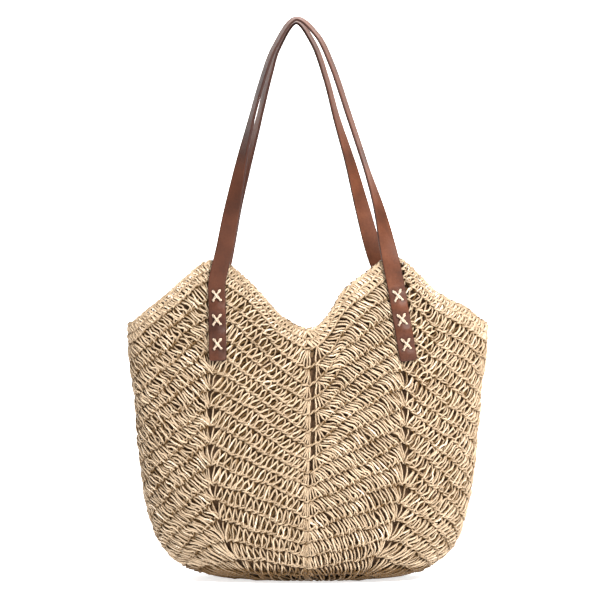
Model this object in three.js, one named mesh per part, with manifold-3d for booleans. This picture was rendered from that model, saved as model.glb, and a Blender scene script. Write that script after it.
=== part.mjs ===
// A crocheted straw tote: a scalloped bag of paper straw with a sewn lining, two flat leather
// handles held by cross stitches, a zipped pocket, a slip pocket and a magnetic snap.
// Millimetres, +Z up. The origin is the middle of the base, the front faces -Y.
import * as THREE from 'three';
import { mergeVertices } from 'three/addons/utils/BufferGeometryUtils.js';
import Module from 'manifold-3d';

const wasm = await Module();
wasm.setup();

// Driving dimensions of the bag.
const SIDE_PROFILE = [[0, 80], [5.5, 114], [14, 137], [30, 156.5], [56, 171], [100, 181],
  [160, 188], [200, 191], [240, 196.5], [275, 198], [360, 198.5]]; // height, half width
const FRONT_PROFILE = [[0, 26], [3, 35], [8, 45], [15, 52], [28, 59], [45, 63], [100, 66], [160, 62],
  [220, 53], [275, 43.5], [360, 29]]; // height, half depth
const RIM_PROFILE = [[-205, 276], [-189, 282], [-172, 296], [-155, 309], [-137, 325], [-120, 340],
  [-104, 347], [-88, 343], [-68, 328], [-51, 311], [-34, 292], [-17, 279], [0, 273], [9, 275],
  [18, 283], [27, 295], [35, 309], [44, 319], [64, 334], [88, 350], [104, 347], [121, 332],
  [138, 315], [156, 304], [173, 296], [190, 283], [205, 276]]; // x, rim height
const BACK_RIM_DROP = 3;
const RIM_HALF_WIDTH = 198;
const ROUNDNESS = 2.3; // exponent of the superellipse that each level section follows
const COLUMNS = 48;
const ROWS = 11;
const ROW_CROWDING = 1.6; // above 1, the rows crowd towards the curved foot
const COLUMN_CROWDING = 0.13; // above 0, the columns crowd towards the middles of front and back

// How deep each layer lies behind the outer face of the straw.
const STRAW = [0, 4];
const WASHER = [4.4, 5.1];
const LINING = [5.5, 6.3];
const POCKET = [7.3, 8.1];
const CHAIN = [7.3, 8.9];
const LINING_BELOW_RIM = 5;

// Handles.
const STRAP_WIDTH = 19;
const STRAP_THICKNESS = 2.8;
const STRAP_CORNER = 0.6;
const STRAP_OFF_WALL = 0.7;
const TAB_BOTTOM = 239;
const HINGE_HEIGHT = 322;
const PIECE_GAP = 0.3;
const APEX = [-12.5, 612.1];
const APEX_DEPTH = 10.5;
const TAB_YAW = 5; // degrees that a sewn end turns to lie flat on the curved wall

// Cross stitches.
const STITCH_HEIGHTS = [257, 283, 309];
const STITCH_HALF = [4.6, 6];
const THREAD = 2;
const THREAD_LIFT = 1.5;
const CROSSING_LIFT = 2.7;
const STITCH_HOLE = 3;

// Inside.
const ZIP_HEIGHT = 210;
const ZIP_HALF_LENGTH = 75;
const CHAIN_HALF_HEIGHT = 2.4;
const TAPE_HEIGHT = 9;
const TAPE_HALF_LENGTH = 78.75;
const STOP_LENGTH = 2.4;
const ZIP_POCKET = { halfWidth: 85, height: 105 };
const SLIP_POCKET = { halfWidth: 72, bottom: 112, top: 205 };
const SLIDER_X = 64;
const SLIDER_BODY = [8, 2.4, 9];
const SLIDER_OFF_CHAIN = 0.5;
const SLIDER_CHEEK = { size: [1.2, 4, 4], apart: 3, out: 2.4 };
const PULL_AXIS_OUT = 3.1; // from the middle of the slider's body
const PULL = { eye: 1.9, top: 0.8, neck: 5, shoulder: 9, halfWidth: 3, length: 22, thickness: 1.4 };
const SNAP_HEIGHT = 249;
const SNAP_RADIUS = 8;
const SNAP_OFF_LINING = 0.9;
const SNAP_DISC = [[0, 0], [SNAP_RADIUS, 0], [SNAP_RADIUS, 1.6], [SNAP_RADIUS - 1, 2.6]];
const SNAP_SOCKET = [...SNAP_DISC, [3.2, 2.6], [3.2, 1.2], [0, 1.2]]; // radius, height
const SNAP_STUD = [...SNAP_DISC, [2.8, 2.6], [2.8, 3.8], [2.3, 4.3], [0, 4.3]];

const straw = new THREE.MeshStandardMaterial({ color: 0xd9c39a, roughness: 0.85 });
const cloth = new THREE.MeshStandardMaterial({ color: 0x6b5140, roughness: 0.9 });
const tape = new THREE.MeshStandardMaterial({ color: 0x4a3428, roughness: 0.9 });
const leather = new THREE.MeshStandardMaterial({ color: 0x7a4632, roughness: 0.5 });
const thread = new THREE.MeshStandardMaterial({ color: 0xf0e1cd, roughness: 0.8 });
const brass = new THREE.MeshStandardMaterial({ color: 0xb08d4f, roughness: 0.35, metalness: 1 });

const bag = new THREE.Group();

function place(name, geometry, material) {
  const mesh = new THREE.Mesh(geometry, material);
  mesh.name = name;
  bag.add(mesh);
  return mesh;
}

// A smooth curve through a list of [position, value], as a function of position.
function through(points) {
  const slope = points.map((point, i) => {
    const before = points[Math.max(i - 1, 0)];
    const after = points[Math.min(i + 1, points.length - 1)];
    return (after[1] - before[1]) / (after[0] - before[0]);
  });
  return (at) => {
    let i = 0;
    while (i < points.length - 2 && at > points[i + 1][0]) i += 1;
    const [x0, y0] = points[i];
    const [x1, y1] = points[i + 1];
    const span = x1 - x0;
    const t = THREE.MathUtils.clamp((at - x0) / span, 0, 1);
    const u = 1 - t;
    return y0 * (1 + 2 * t) * u * u + y1 * (3 - 2 * t) * t * t
      + slope[i] * span * t * u * u - slope[i + 1] * span * t * t * u;
  };
}

const halfWidth = through(SIDE_PROFILE);
const halfDepth = through(FRONT_PROFILE);
const rimCurve = through(RIM_PROFILE);

function rimHeight(x, side) {
  return rimCurve(x) - (side > 0 ? BACK_RIM_DROP : 0);
}

function power(value, exponent) {
  return Math.sign(value) * Math.abs(value) ** exponent;
}

// How a profile leans: the outward and upward parts of its normal.
function lean(profile, z) {
  const step = 0.5;
  const below = Math.max(z - step, 0);
  const slope = (profile(z + step) - profile(below)) / (z + step - below);
  const length = Math.hypot(1, slope);
  return [1 / length, -slope / length];
}

// A point of the wall by the two shares of its level section, c along X and s along Y.
function wallShares(c, s, z, depth) {
  const [outX, upX] = lean(halfWidth, z);
  const [outY, upY] = lean(halfDepth, z);
  return new THREE.Vector3(
    (halfWidth(z) - depth * outX) * c,
    (halfDepth(z) - depth * outY) * s,
    z - depth * (upX * c * c + upY * (1 - c * c)),
  );
}

function wallTurn(turn, z, depth) {
  const exponent = 2 / ROUNDNESS;
  return wallShares(power(Math.cos(turn), exponent), power(Math.sin(turn), exponent), z, depth);
}

// A point of the front (side -1) or back (side 1) wall by its x.
function wallAt(x, z, depth, side) {
  const c = x / (halfWidth(z) - depth * lean(halfWidth, z)[0]);
  const s = (1 - Math.abs(c) ** ROUNDNESS) ** (1 / ROUNDNESS);
  return wallShares(c, side * s, z, depth);
}

function geometryOf(points, faces) {
  const geometry = new THREE.BufferGeometry();
  const coordinates = points.flatMap((point) => point.toArray());
  geometry.setAttribute('position', new THREE.Float32BufferAttribute(coordinates, 3));
  geometry.setIndex(faces.flat());
  geometry.computeVertexNormals();
  return geometry;
}

// One closed shell of the bag between two depths, its mouth open, its foot flat.
function bagShell([outer, inner], belowRim) {
  const points = [];
  const faces = [];
  for (const depth of [outer, inner]) {
    for (let row = 0; row <= ROWS; row += 1) {
      for (let column = 0; column < COLUMNS; column += 1) {
        const even = (column / COLUMNS) * 2 * Math.PI;
        const turn = even + COLUMN_CROWDING * Math.sin(2 * even);
        const rimX = RIM_HALF_WIDTH * power(Math.cos(turn), 2 / ROUNDNESS);
        const top = rimHeight(rimX, Math.sin(turn)) - belowRim;
        points.push(wallTurn(turn, top * (row / ROWS) ** ROW_CROWDING, depth));
      }
    }
  }
  const innerStart = (ROWS + 1) * COLUMNS;
  for (let column = 0; column < COLUMNS; column += 1) {
    const next = (column + 1) % COLUMNS;
    for (let row = 0; row < ROWS; row += 1) {
      const [a, b] = [row * COLUMNS + column, row * COLUMNS + next];
      const [c, d] = [a + COLUMNS, b + COLUMNS];
      faces.push([a, b, d], [a, d, c]);
      faces.push([innerStart + a, innerStart + d, innerStart + b]);
      faces.push([innerStart + a, innerStart + c, innerStart + d]);
    }
    const [rim, rimNext] = [ROWS * COLUMNS + column, ROWS * COLUMNS + next];
    faces.push([rim, rimNext, innerStart + rimNext], [rim, innerStart + rimNext, innerStart + rim]);
  }
  const outerFoot = points.push(new THREE.Vector3(0, 0, points[0].z)) - 1;
  const innerFoot = points.push(new THREE.Vector3(0, 0, points[innerStart].z)) - 1;
  for (let column = 0; column < COLUMNS; column += 1) {
    const next = (column + 1) % COLUMNS;
    faces.push([outerFoot, next, column], [innerFoot, innerStart + column, innerStart + next]);
  }
  return geometryOf(points, faces);
}

// A flat piece laid on the inside of a wall, between two depths.
function wallPatch(side, [x0, x1], [z0, z1], [near, far], acrossSteps, upSteps) {
  const points = [];
  const faces = [];
  const width = acrossSteps + 1;
  const layer = width * (upSteps + 1);
  for (const depth of [near, far]) {
    for (let up = 0; up <= upSteps; up += 1) {
      for (let across = 0; across <= acrossSteps; across += 1) {
        const x = THREE.MathUtils.lerp(x0, x1, across / acrossSteps);
        points.push(wallAt(x, THREE.MathUtils.lerp(z0, z1, up / upSteps), depth, side));
      }
    }
  }
  const add = (a, b, c, d) => {
    faces.push(side < 0 ? [a, b, c] : [a, c, b], side < 0 ? [a, c, d] : [a, d, c]);
  };
  for (let up = 0; up < upSteps; up += 1) {
    for (let across = 0; across < acrossSteps; across += 1) {
      const a = up * width + across;
      add(a, a + 1, a + 1 + width, a + width);
      add(layer + a, layer + a + width, layer + a + 1 + width, layer + a + 1);
    }
  }
  for (let across = 0; across < acrossSteps; across += 1) {
    const top = upSteps * width + across;
    add(across, layer + across, layer + across + 1, across + 1);
    add(top, top + 1, layer + top + 1, layer + top);
  }
  for (let up = 0; up < upSteps; up += 1) {
    const left = up * width;
    const right = left + acrossSteps;
    add(left, left + width, layer + left + width, layer + left);
    add(right, layer + right, layer + right + width, right + width);
  }
  return geometryOf(points, faces);
}

function solidOf(geometry) {
  const bare = geometry.clone();
  bare.deleteAttribute('normal');
  bare.deleteAttribute('uv');
  const merged = mergeVertices(bare, 1e-4);
  return new wasm.Manifold(new wasm.Mesh({
    numProp: 3,
    vertProperties: new Float32Array(merged.attributes.position.array),
    triVerts: new Uint32Array(merged.index.array),
  }));
}

function meshOf(solid) {
  const { vertProperties, triVerts } = solid.getMesh();
  const geometry = new THREE.BufferGeometry();
  geometry.setAttribute('position', new THREE.BufferAttribute(new Float32Array(vertProperties), 3));
  geometry.setIndex(new THREE.BufferAttribute(new Uint32Array(triVerts), 1));
  geometry.computeVertexNormals();
  return geometry;
}

// The handles. Each leg lists x and height from the fold to just short of the top, and where
// it starts and ends its quarter twist.
const straps = [
  {
    name: 'front',
    side: -1,
    left: {
      tab: [-96, -97.5],
      leg: [[-89, 363], [-79.5, 413], [-66, 480], [-49, 545], [-35, 582]],
      twist: [380, 512],
    },
    right: {
      tab: [108.5, 97],
      leg: [[88, 356], [77, 404], [64, 446], [46.5, 501], [26, 562], [10, 594]],
      twist: [344, 450],
    },
  },
  {
    name: 'back',
    side: 1,
    left: {
      tab: [-97, -98.5],
      leg: [[-93, 352], [-82, 405], [-69.5, 450], [-57, 495], [-43, 552], [-33, 584]],
      twist: [350, 515],
    },
    right: {
      tab: [101, 91],
      leg: [[77, 352], [61, 408], [47, 460], [33, 506], [20.5, 552], [6, 590]],
      twist: [344, 535],
    },
  },
];

// How far in front of the middle plane a leg runs, from its fold up to the top of the arch.
function legDepth(z, foldDepth) {
  const t = (z - HINGE_HEIGHT) / (APEX[1] - HINGE_HEIGHT);
  return APEX_DEPTH + (foldDepth - APEX_DEPTH) * (1 - t) ** 0.75;
}

function tabPoint({ tab }, z, side) {
  const x = THREE.MathUtils.mapLinear(z, TAB_BOTTOM, 309, tab[0], tab[1]);
  return wallAt(x, z, -(STRAP_OFF_WALL + STRAP_THICKNESS / 2), side);
}

function strapCurve({ side, left, right }) {
  const legPoints = (leg) => {
    const fold = tabPoint(leg, HINGE_HEIGHT, side);
    const free = leg.leg.map(([x, z]) => new THREE.Vector3(x, side * legDepth(z, Math.abs(fold.y)), z));
    return [...[TAB_BOTTOM, 262, 285, 305].map((z) => tabPoint(leg, z, side)), fold, ...free];
  };
  const top = new THREE.Vector3(APEX[0], side * APEX_DEPTH, APEX[1]);
  const points = [...legPoints(left), top, ...legPoints(right).reverse()];
  return new THREE.CatmullRomCurve3(points, false, 'centripetal');
}

function twistAt(strap, z, x) {
  const [from, to] = (x < APEX[0] ? strap.left : strap.right).twist;
  const t = THREE.MathUtils.clamp((z - from) / (to - from), 0, 1);
  const flat = -strap.side * TAB_YAW;
  return THREE.MathUtils.degToRad(THREE.MathUtils.lerp(flat, 90, 1 - (1 - t) ** 1.5));
}

// The strap's frame at a share of its length. Faceward points out of the face that turns up at
// the top of the arch, and away points away from the wall where the strap is sewn.
function strapFrame(strap, curve, share) {
  const point = curve.getPointAt(share);
  const along = curve.getTangentAt(share);
  const depthwise = new THREE.Vector3(0, 1, 0).addScaledVector(along, -along.y).normalize();
  const level = new THREE.Vector3().crossVectors(depthwise, along);
  const twist = twistAt(strap, point.z, point.x);
  const across = level.multiplyScalar(Math.cos(twist)).addScaledVector(depthwise, -Math.sin(twist));
  const faceward = new THREE.Vector3().crossVectors(across, along);
  const away = faceward.clone().multiplyScalar(-strap.side);
  return { point, along, across, faceward, away };
}

function strapRing({ point, across, faceward }, width) {
  const [w, h, c] = [width / 2, STRAP_THICKNESS / 2, STRAP_CORNER];
  const upper = [[w, h - c], [w - c, h], [c - w, h], [-w, h - c]];
  const corners = [...upper, ...upper.map(([a, o]) => [a, -o]).reverse()];
  return corners.map(([a, o]) => point.clone().addScaledVector(across, a).addScaledVector(faceward, o));
}

function strapPiece(strap, curve, shares, roundEnd) {
  const widthAt = (i) => {
    const fromEnd = roundEnd < 0 ? i : shares.length - 1 - i;
    return roundEnd && fromEnd < 2 ? STRAP_WIDTH - [3.5, 1][fromEnd] : STRAP_WIDTH;
  };
  const rings = shares.map((share, i) => strapRing(strapFrame(strap, curve, share), widthAt(i)));
  const points = rings.flat();
  const sides = rings[0].length;
  const faces = [];
  for (let ring = 0; ring < rings.length - 1; ring += 1) {
    for (let i = 0; i < sides; i += 1) {
      const [a, b] = [ring * sides + i, ring * sides + ((i + 1) % sides)];
      faces.push([a, a + sides, b + sides], [a, b + sides, b]);
    }
  }
  for (let i = 1; i < sides - 1; i += 1) {
    const last = (rings.length - 1) * sides;
    faces.push([0, i, i + 1], [last, last + i + 1, last + i]);
  }
  return geometryOf(points, faces);
}

// The share of the curve's length at which one side reaches a height.
function shareAtHeight(curve, z, leftSide) {
  let [low, high] = [0, 0.45];
  for (let i = 0; i < 40; i += 1) {
    const middle = (low + high) / 2;
    const below = curve.getPointAt(leftSide ? middle : 1 - middle).z < z;
    [low, high] = below ? [middle, high] : [low, middle];
  }
  return leftSide ? low : 1 - low;
}

function evenly(from, to, steps) {
  return Array.from({ length: steps + 1 }, (_, i) => THREE.MathUtils.lerp(from, to, i / steps));
}

// A thread through two holes, with its run on the leather lifted in the middle.
function threadPath(frame, start, end, lift) {
  const at = (share, height) => frame.point.clone()
    .addScaledVector(frame.across, THREE.MathUtils.lerp(start[0], end[0], share))
    .addScaledVector(frame.along, THREE.MathUtils.lerp(start[1], end[1], share))
    .addScaledVector(frame.away, STRAP_THICKNESS / 2 + height);
  const low = THREAD_LIFT;
  return new THREE.CatmullRomCurve3([
    at(0, -STRAP_THICKNESS), at(0, 0.2), at(0.08, low), at(0.5, lift), at(0.92, low),
    at(1, 0.2), at(1, -STRAP_THICKNESS),
  ], false, 'chordal');
}

function sixSided(radius) {
  const corners = Array.from({ length: 6 }, (_, i) => {
    const turn = (i / 6) * 2 * Math.PI;
    return new THREE.Vector2(radius * Math.cos(turn), radius * Math.sin(turn));
  });
  return new THREE.Shape(corners);
}

function crossStitch(frame) {
  const [a, b] = STITCH_HALF;
  const strand = (start, end, lift) => solidOf(new THREE.ExtrudeGeometry(sixSided(THREAD / 2), {
    steps: 9,
    bevelEnabled: false,
    extrudePath: threadPath(frame, start, end, lift),
  }));
  return strand([-a, -b], [a, b], THREAD_LIFT).add(strand([a, -b], [-a, b], CROSSING_LIFT));
}

function stitchHoles(frame) {
  const [a, b] = STITCH_HALF;
  return [[-a, -b], [a, -b], [a, b], [-a, b]].map(([u, v]) => {
    const middle = frame.point.clone().addScaledVector(frame.across, u).addScaledVector(frame.along, v);
    const reach = frame.away.clone().multiplyScalar(STRAP_THICKNESS);
    const path = new THREE.LineCurve3(middle.clone().sub(reach), middle.clone().add(reach));
    const options = { steps: 1, bevelEnabled: false, extrudePath: path };
    return solidOf(new THREE.ExtrudeGeometry(sixSided(STITCH_HOLE / 2), options));
  });
}

function addStrap(strap) {
  const curve = strapCurve(strap);
  curve.arcLengthDivisions = 800;
  const length = curve.getLength();
  const gap = PIECE_GAP / 2 / length;
  const roundedEnd = [0, 0.9 / length, 3 / length];
  for (const leftSide of [true, false]) {
    const fold = shareAtHeight(curve, HINGE_HEIGHT, leftSide);
    const sewn = leftSide ? fold : 1 - fold;
    const distances = [...roundedEnd.slice(0, 2), ...evenly(roundedEnd[2], sewn - gap, 6)];
    const shares = leftSide ? distances : distances.map((d) => 1 - d).reverse();
    const ending = leftSide ? -1 : 1;
    let tab = solidOf(strapPiece(strap, curve, shares, ending));
    const word = leftSide ? 'left' : 'right';
    STITCH_HEIGHTS.forEach((height, i) => {
      const frame = strapFrame(strap, curve, shareAtHeight(curve, height, leftSide));
      stitchHoles(frame).forEach((hole) => {
        tab = tab.subtract(hole);
      });
      const level = ['low', 'middle', 'top'][i];
      place(`stitch_${strap.name}_${word}_${level}`, meshOf(crossStitch(frame)), thread);
    });
    place(`${strap.name}_handle_${word}_end`, meshOf(tab), leather);
  }
  const [start, end] = [true, false].map((leftSide) => shareAtHeight(curve, HINGE_HEIGHT, leftSide));
  place(`${strap.name}_handle`, strapPiece(strap, curve, evenly(start + gap, end - gap, 48), 0), leather);
}

// A frame on the inside of a wall: its origin, and a rotation that turns +Y towards the room inside.
function insideFrame(x, z, depth, side) {
  const point = wallAt(x, z, depth, side);
  const inward = wallAt(x, z, depth + 1, side).sub(point).normalize();
  return { point, turn: new THREE.Quaternion().setFromUnitVectors(new THREE.Vector3(0, 1, 0), inward) };
}

function placeInside(name, geometry, material, x, z, depth, side) {
  const { point, turn } = insideFrame(x, z, depth, side);
  const mesh = place(name, geometry, material);
  mesh.position.copy(point);
  mesh.quaternion.copy(turn);
}

// A turned piece whose profile, in [radius, height], starts and ends on its axis.
function turned(profile) {
  const outline = profile.map(([radius, height]) => new THREE.Vector2(radius, height));
  const geometry = new THREE.LatheGeometry(outline, 16);
  return meshOf(solidOf(geometry));
}

function addZip() {
  const [low, high] = [ZIP_HEIGHT - CHAIN_HALF_HEIGHT, ZIP_HEIGHT + CHAIN_HALF_HEIGHT];
  const ends = [-ZIP_HALF_LENGTH, ZIP_HALF_LENGTH];
  place('zip_chain', wallPatch(1, ends, [low, high], CHAIN, 12, 1), brass);
  const upper = [high + PIECE_GAP, high + PIECE_GAP + TAPE_HEIGHT];
  const lower = [low - PIECE_GAP - TAPE_HEIGHT, low - PIECE_GAP];
  const tapeEnds = [-TAPE_HALF_LENGTH, TAPE_HALF_LENGTH];
  place('zip_tape_upper', wallPatch(1, tapeEnds, upper, POCKET, 12, 1), tape);
  place('zip_tape_lower', wallPatch(1, tapeEnds, lower, POCKET, 12, 1), tape);
  const stop = [ZIP_HALF_LENGTH + PIECE_GAP, ZIP_HALF_LENGTH + PIECE_GAP + STOP_LENGTH];
  place('zip_stop_right', wallPatch(1, stop, [low, high], CHAIN, 1, 1), brass);
  place('zip_stop_left', wallPatch(1, stop.map((x) => -x).reverse(), [low, high], CHAIN, 1, 1), brass);
  const panelTop = lower[0] - PIECE_GAP;
  const panelEnds = [-ZIP_POCKET.halfWidth, ZIP_POCKET.halfWidth];
  const panelHeights = [panelTop - ZIP_POCKET.height, panelTop];
  place('zip_pocket_panel', wallPatch(1, panelEnds, panelHeights, POCKET, 14, 4), cloth);
}

function addSlipPocket() {
  const { halfWidth: half, bottom, top } = SLIP_POCKET;
  place('slip_pocket_panel', wallPatch(-1, [-half, half], [bottom, top], POCKET, 12, 4), cloth);
}

// The slider's shell with the two cheeks that its pull hangs between.
function sliderBody() {
  const shell = solidOf(new THREE.BoxGeometry(...SLIDER_BODY));
  const cheek = new THREE.BoxGeometry(...SLIDER_CHEEK.size);
  const left = solidOf(cheek.clone().translate(-SLIDER_CHEEK.apart, SLIDER_CHEEK.out, 0));
  const right = solidOf(cheek.clone().translate(SLIDER_CHEEK.apart, SLIDER_CHEEK.out, 0));
  return meshOf(shell.add(left).add(right));
}

// The pull hangs straight down from its hinge line.
function pullTab() {
  const { eye, top, neck, shoulder, halfWidth: half, length, thickness } = PULL;
  const outline = new THREE.Shape();
  outline.moveTo(-eye, top);
  outline.lineTo(-eye, -neck);
  outline.lineTo(-half, -shoulder);
  outline.lineTo(-half, -length);
  outline.absarc(0, -length, half, Math.PI, 2 * Math.PI, false);
  outline.lineTo(half, -shoulder);
  outline.lineTo(eye, -neck);
  outline.lineTo(eye, top);
  const options = { depth: thickness, bevelEnabled: false, curveSegments: 5 };
  const plate = new THREE.ExtrudeGeometry(outline, options);
  plate.translate(0, 0, -thickness / 2);
  plate.rotateX(Math.PI / 2);
  return meshOf(solidOf(plate));
}

function addSlider() {
  const depth = CHAIN[1] + SLIDER_OFF_CHAIN + SLIDER_BODY[1] / 2;
  placeInside('zip_slider', sliderBody(), brass, SLIDER_X, ZIP_HEIGHT, depth, 1);
  const { point, turn } = insideFrame(SLIDER_X, ZIP_HEIGHT, depth, 1);
  const hinge = point.add(new THREE.Vector3(0, PULL_AXIS_OUT, 0).applyQuaternion(turn));
  place('zip_pull', pullTab(), brass).position.copy(hinge);
}

function addSnap() {
  const depth = LINING[1] + SNAP_OFF_LINING;
  placeInside('snap_socket', turned(SNAP_SOCKET), brass, 0, SNAP_HEIGHT, depth, 1);
  placeInside('snap_stud', turned(SNAP_STUD), brass, 0, SNAP_HEIGHT, depth, -1);
  const washer = [[0, 0], [SNAP_RADIUS - 1, 0], [SNAP_RADIUS - 1, WASHER[1] - WASHER[0]]];
  for (const [word, side] of [['back', 1], ['front', -1]]) {
    const plate = turned([...washer, [0, WASHER[1] - WASHER[0]]]);
    placeInside(`snap_washer_${word}`, plate, brass, 0, SNAP_HEIGHT, WASHER[0], side);
  }
}

place('crochet_body', bagShell(STRAW, 0), straw);
place('lining', bagShell(LINING, LINING_BELOW_RIM), cloth);
addSlipPocket();
addZip();
addSlider();
addSnap();
straps.forEach(addStrap);

export default bag;
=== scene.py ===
import math
import mathutils
import bpy
import numpy as np
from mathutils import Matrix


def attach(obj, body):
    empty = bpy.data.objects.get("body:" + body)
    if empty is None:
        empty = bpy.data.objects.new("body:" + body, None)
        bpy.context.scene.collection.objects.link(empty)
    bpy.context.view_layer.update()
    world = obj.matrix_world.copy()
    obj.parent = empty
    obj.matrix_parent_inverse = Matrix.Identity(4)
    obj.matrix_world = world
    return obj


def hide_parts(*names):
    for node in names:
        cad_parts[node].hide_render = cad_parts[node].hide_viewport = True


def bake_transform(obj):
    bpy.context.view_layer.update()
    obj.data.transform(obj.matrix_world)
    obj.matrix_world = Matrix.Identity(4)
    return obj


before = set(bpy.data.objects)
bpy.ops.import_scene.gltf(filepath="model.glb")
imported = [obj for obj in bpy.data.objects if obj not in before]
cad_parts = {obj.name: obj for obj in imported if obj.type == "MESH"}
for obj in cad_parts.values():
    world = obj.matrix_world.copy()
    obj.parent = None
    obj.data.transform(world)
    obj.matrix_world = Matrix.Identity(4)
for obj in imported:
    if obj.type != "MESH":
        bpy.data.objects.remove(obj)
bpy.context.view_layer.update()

bpy.ops.object.select_all(action="DESELECT")

mm = 0.001
luck = np.random.default_rng(23)

# the bag's wall, as it is cut in the solid model: (height, half width), (height, half depth),
# (place across the front, rim height), all in millimetres
wall = {
    "widths": [(0, 80), (5.5, 114), (14, 137), (30, 156.5), (56, 171), (100, 181), (160, 188),
               (200, 191), (240, 196.5), (275, 198), (360, 198.5)],
    "depths": [(0, 26), (3, 35), (8, 45), (15, 52), (28, 59), (45, 63), (100, 66), (160, 62),
               (220, 53), (275, 43.5), (360, 29)],
    "rim": [(-205, 276), (-189, 282), (-172, 296), (-155, 309), (-137, 325), (-120, 340),
            (-104, 347), (-88, 343), (-68, 328), (-51, 311), (-34, 292), (-17, 279), (0, 273),
            (9, 275), (18, 283), (27, 295), (35, 309), (44, 319), (64, 334), (88, 350),
            (104, 347), (121, 332), (138, 315), (156, 304), (173, 296), (190, 283), (205, 276)],
    "backRimDrop": 3.0,
    "rimHalfWidth": 198.0,
    "roundness": 2.3,
    "leanStep": 0.5,
}


def through(points, at):
    xs, ys = np.array(points, float).T
    at = np.asarray(at, float)
    rise = np.empty(len(xs))
    rise[1:-1] = (ys[2:] - ys[:-2]) / (xs[2:] - xs[:-2])
    rise[0] = (ys[1] - ys[0]) / (xs[1] - xs[0])
    rise[-1] = (ys[-1] - ys[-2]) / (xs[-1] - xs[-2])
    i = np.clip(np.searchsorted(xs, at) - 1, 0, len(xs) - 2)
    span = xs[i + 1] - xs[i]
    t = np.clip((at - xs[i]) / span, 0, 1)
    u = 1 - t
    return (ys[i] * (1 + 2 * t) * u * u + ys[i + 1] * (3 - 2 * t) * t * t
            + rise[i] * span * t * u * u - rise[i + 1] * span * t * t * u)


def halfSize(key, z):
    return through(wall[key], np.maximum(z, 0)) + np.minimum(z, 0)  # the foot closes inwards below 0


def lean(key, z):
    step = wall["leanStep"]
    high = np.maximum(z, 0)
    low = np.maximum(high - step, 0)
    slope = (through(wall[key], high + step) - through(wall[key], low)) / (high + step - low)
    slope = np.where(np.asarray(z) < 0, 1e4, slope)
    size = np.hypot(1, slope)
    return 1 / size, -slope / size


def wallShares(c, s, z, depth):
    outX, upX = lean("widths", z)
    outY, upY = lean("depths", z)
    x = (halfSize("widths", z) - depth * outX) * c
    y = (halfSize("depths", z) - depth * outY) * s
    h = np.maximum(z, 0) - depth * (upX * c * c + upY * (1 - c * c))
    return np.stack(np.broadcast_arrays(x, y, h), -1)


def wallAt(x, z, depth, side):
    c = x / (halfSize("widths", z) - depth * lean("widths", z)[0])
    s = np.clip(1 - np.abs(c) ** wall["roundness"], 0, 1) ** (1 / wall["roundness"])
    return wallShares(c, side * s, z, depth)


# the rounds of crochet: each goes up to a fan over each handle end and down to the middles and sides
rounds = {
    "count": 17,
    "firstHeight": 10.5,
    "pitch": 20.35,
    "footHeights": [(-3, -34), (-2, -17), (-1, -0.5), (0, 10.5)],
    "middleDrop": 85.0,
    "middlePower": 0.68,
    "sideDrops": [(-3, 0), (-2, 17), (-1, 20), (0, 14.5), (1, 29), (3, 61.5), (5, 77), (7, 74),
                  (9, 75.6), (11, 74.3), (13, 78), (15, 80), (17, 76.5)],
    "fanShares": [(-3, 0.45), (0, 0.47), (1, 0.485), (2, 0.52), (3, 0.54), (5, 0.56), (9, 0.552),
                  (11, 0.53), (17, 0.512)],
    "sectionWidth": 188.0,
    "sectionDepth": 62.0,
    "rimGap": 2.6,
    "rimTop": 354.0,
    "scaleBelow": 20.0,
}


def ovalAt(turn):
    # shares of the half width and half depth, round the bag's rounded oblong
    power = 2 / wall["roundness"]
    c, s = np.cos(turn), np.sin(turn)
    return np.sign(c) * np.abs(c) ** power, np.sign(s) * np.abs(s) ** power


def quarterTable():
    c, s = ovalAt(np.linspace(0, math.pi / 2, 4001))
    steps = np.hypot(np.diff(c) * rounds["sectionWidth"], np.diff(s) * rounds["sectionDepth"])
    return np.concatenate([[0], np.cumsum(steps)]), c, s


quarterWay, quarterC, quarterS = quarterTable()
quarter = quarterWay[-1]  # a quarter of the way round, from a side seam to the middle


def table(key, k):
    xs, ys = np.array(rounds[key], float).T
    return np.interp(k, xs, ys)


def fanWay(k):
    return np.interp(-table("fanShares", k), -quarterC, quarterWay)


def fanHeight(k):
    k = np.asarray(k, float)
    return np.where(k >= 0, rounds["firstHeight"] + rounds["pitch"] * k, table("footHeights", k))


def middleDrop(k):
    return rounds["middleDrop"] * (np.maximum(k, 0) / rounds["count"]) ** rounds["middlePower"]


def splitWay(p):
    # p runs round the bag from the right side seam over the front: which quarter, and how far in it
    p = np.mod(p, 4 * quarter)
    part = np.floor(p / quarter).astype(int) % 4
    inner = p - part * quarter
    q = np.where(part % 2 == 0, inner, quarter - inner)
    signX = np.where((part == 0) | (part == 3), 1.0, -1.0)
    signY = np.where(part < 2, -1.0, 1.0)
    return q, signX, signY


def roundHeight(p, k):
    q, signX, signY = splitWay(p)
    c = np.interp(q, quarterWay, quarterC) * signX
    atFan = fanWay(k)
    toSide = np.clip((atFan - q) / atFan, 0, 1)
    toMiddle = np.clip((q - atFan) / (quarter - atFan), 0, 1)
    drop = toSide * table("sideDrops", k) + toMiddle * middleDrop(k)
    rimDrop = rounds["rimTop"] - through(wall["rim"], wall["rimHalfWidth"] * c)
    follow = np.clip((k - 7) / 10, 0, 1) ** 1.3  # the upper rounds follow the scallops of the rim
    z = fanHeight(k) - drop * (1 - follow) - rimDrop * follow
    return z - rounds["rimGap"] * follow - np.where(signY > 0, wall["backRimDrop"], 0) * follow


def onBag(p, k, depth):
    q, signX, signY = splitWay(p)
    c = np.interp(q, quarterWay, quarterC) * signX
    s = np.interp(q, quarterWay, quarterS) * signY
    return wallShares(c, s, roundHeight(p, k), depth)


def unit(v):
    return v / np.maximum(np.linalg.norm(v, axis=-1, keepdims=True), 1e-9)


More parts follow.
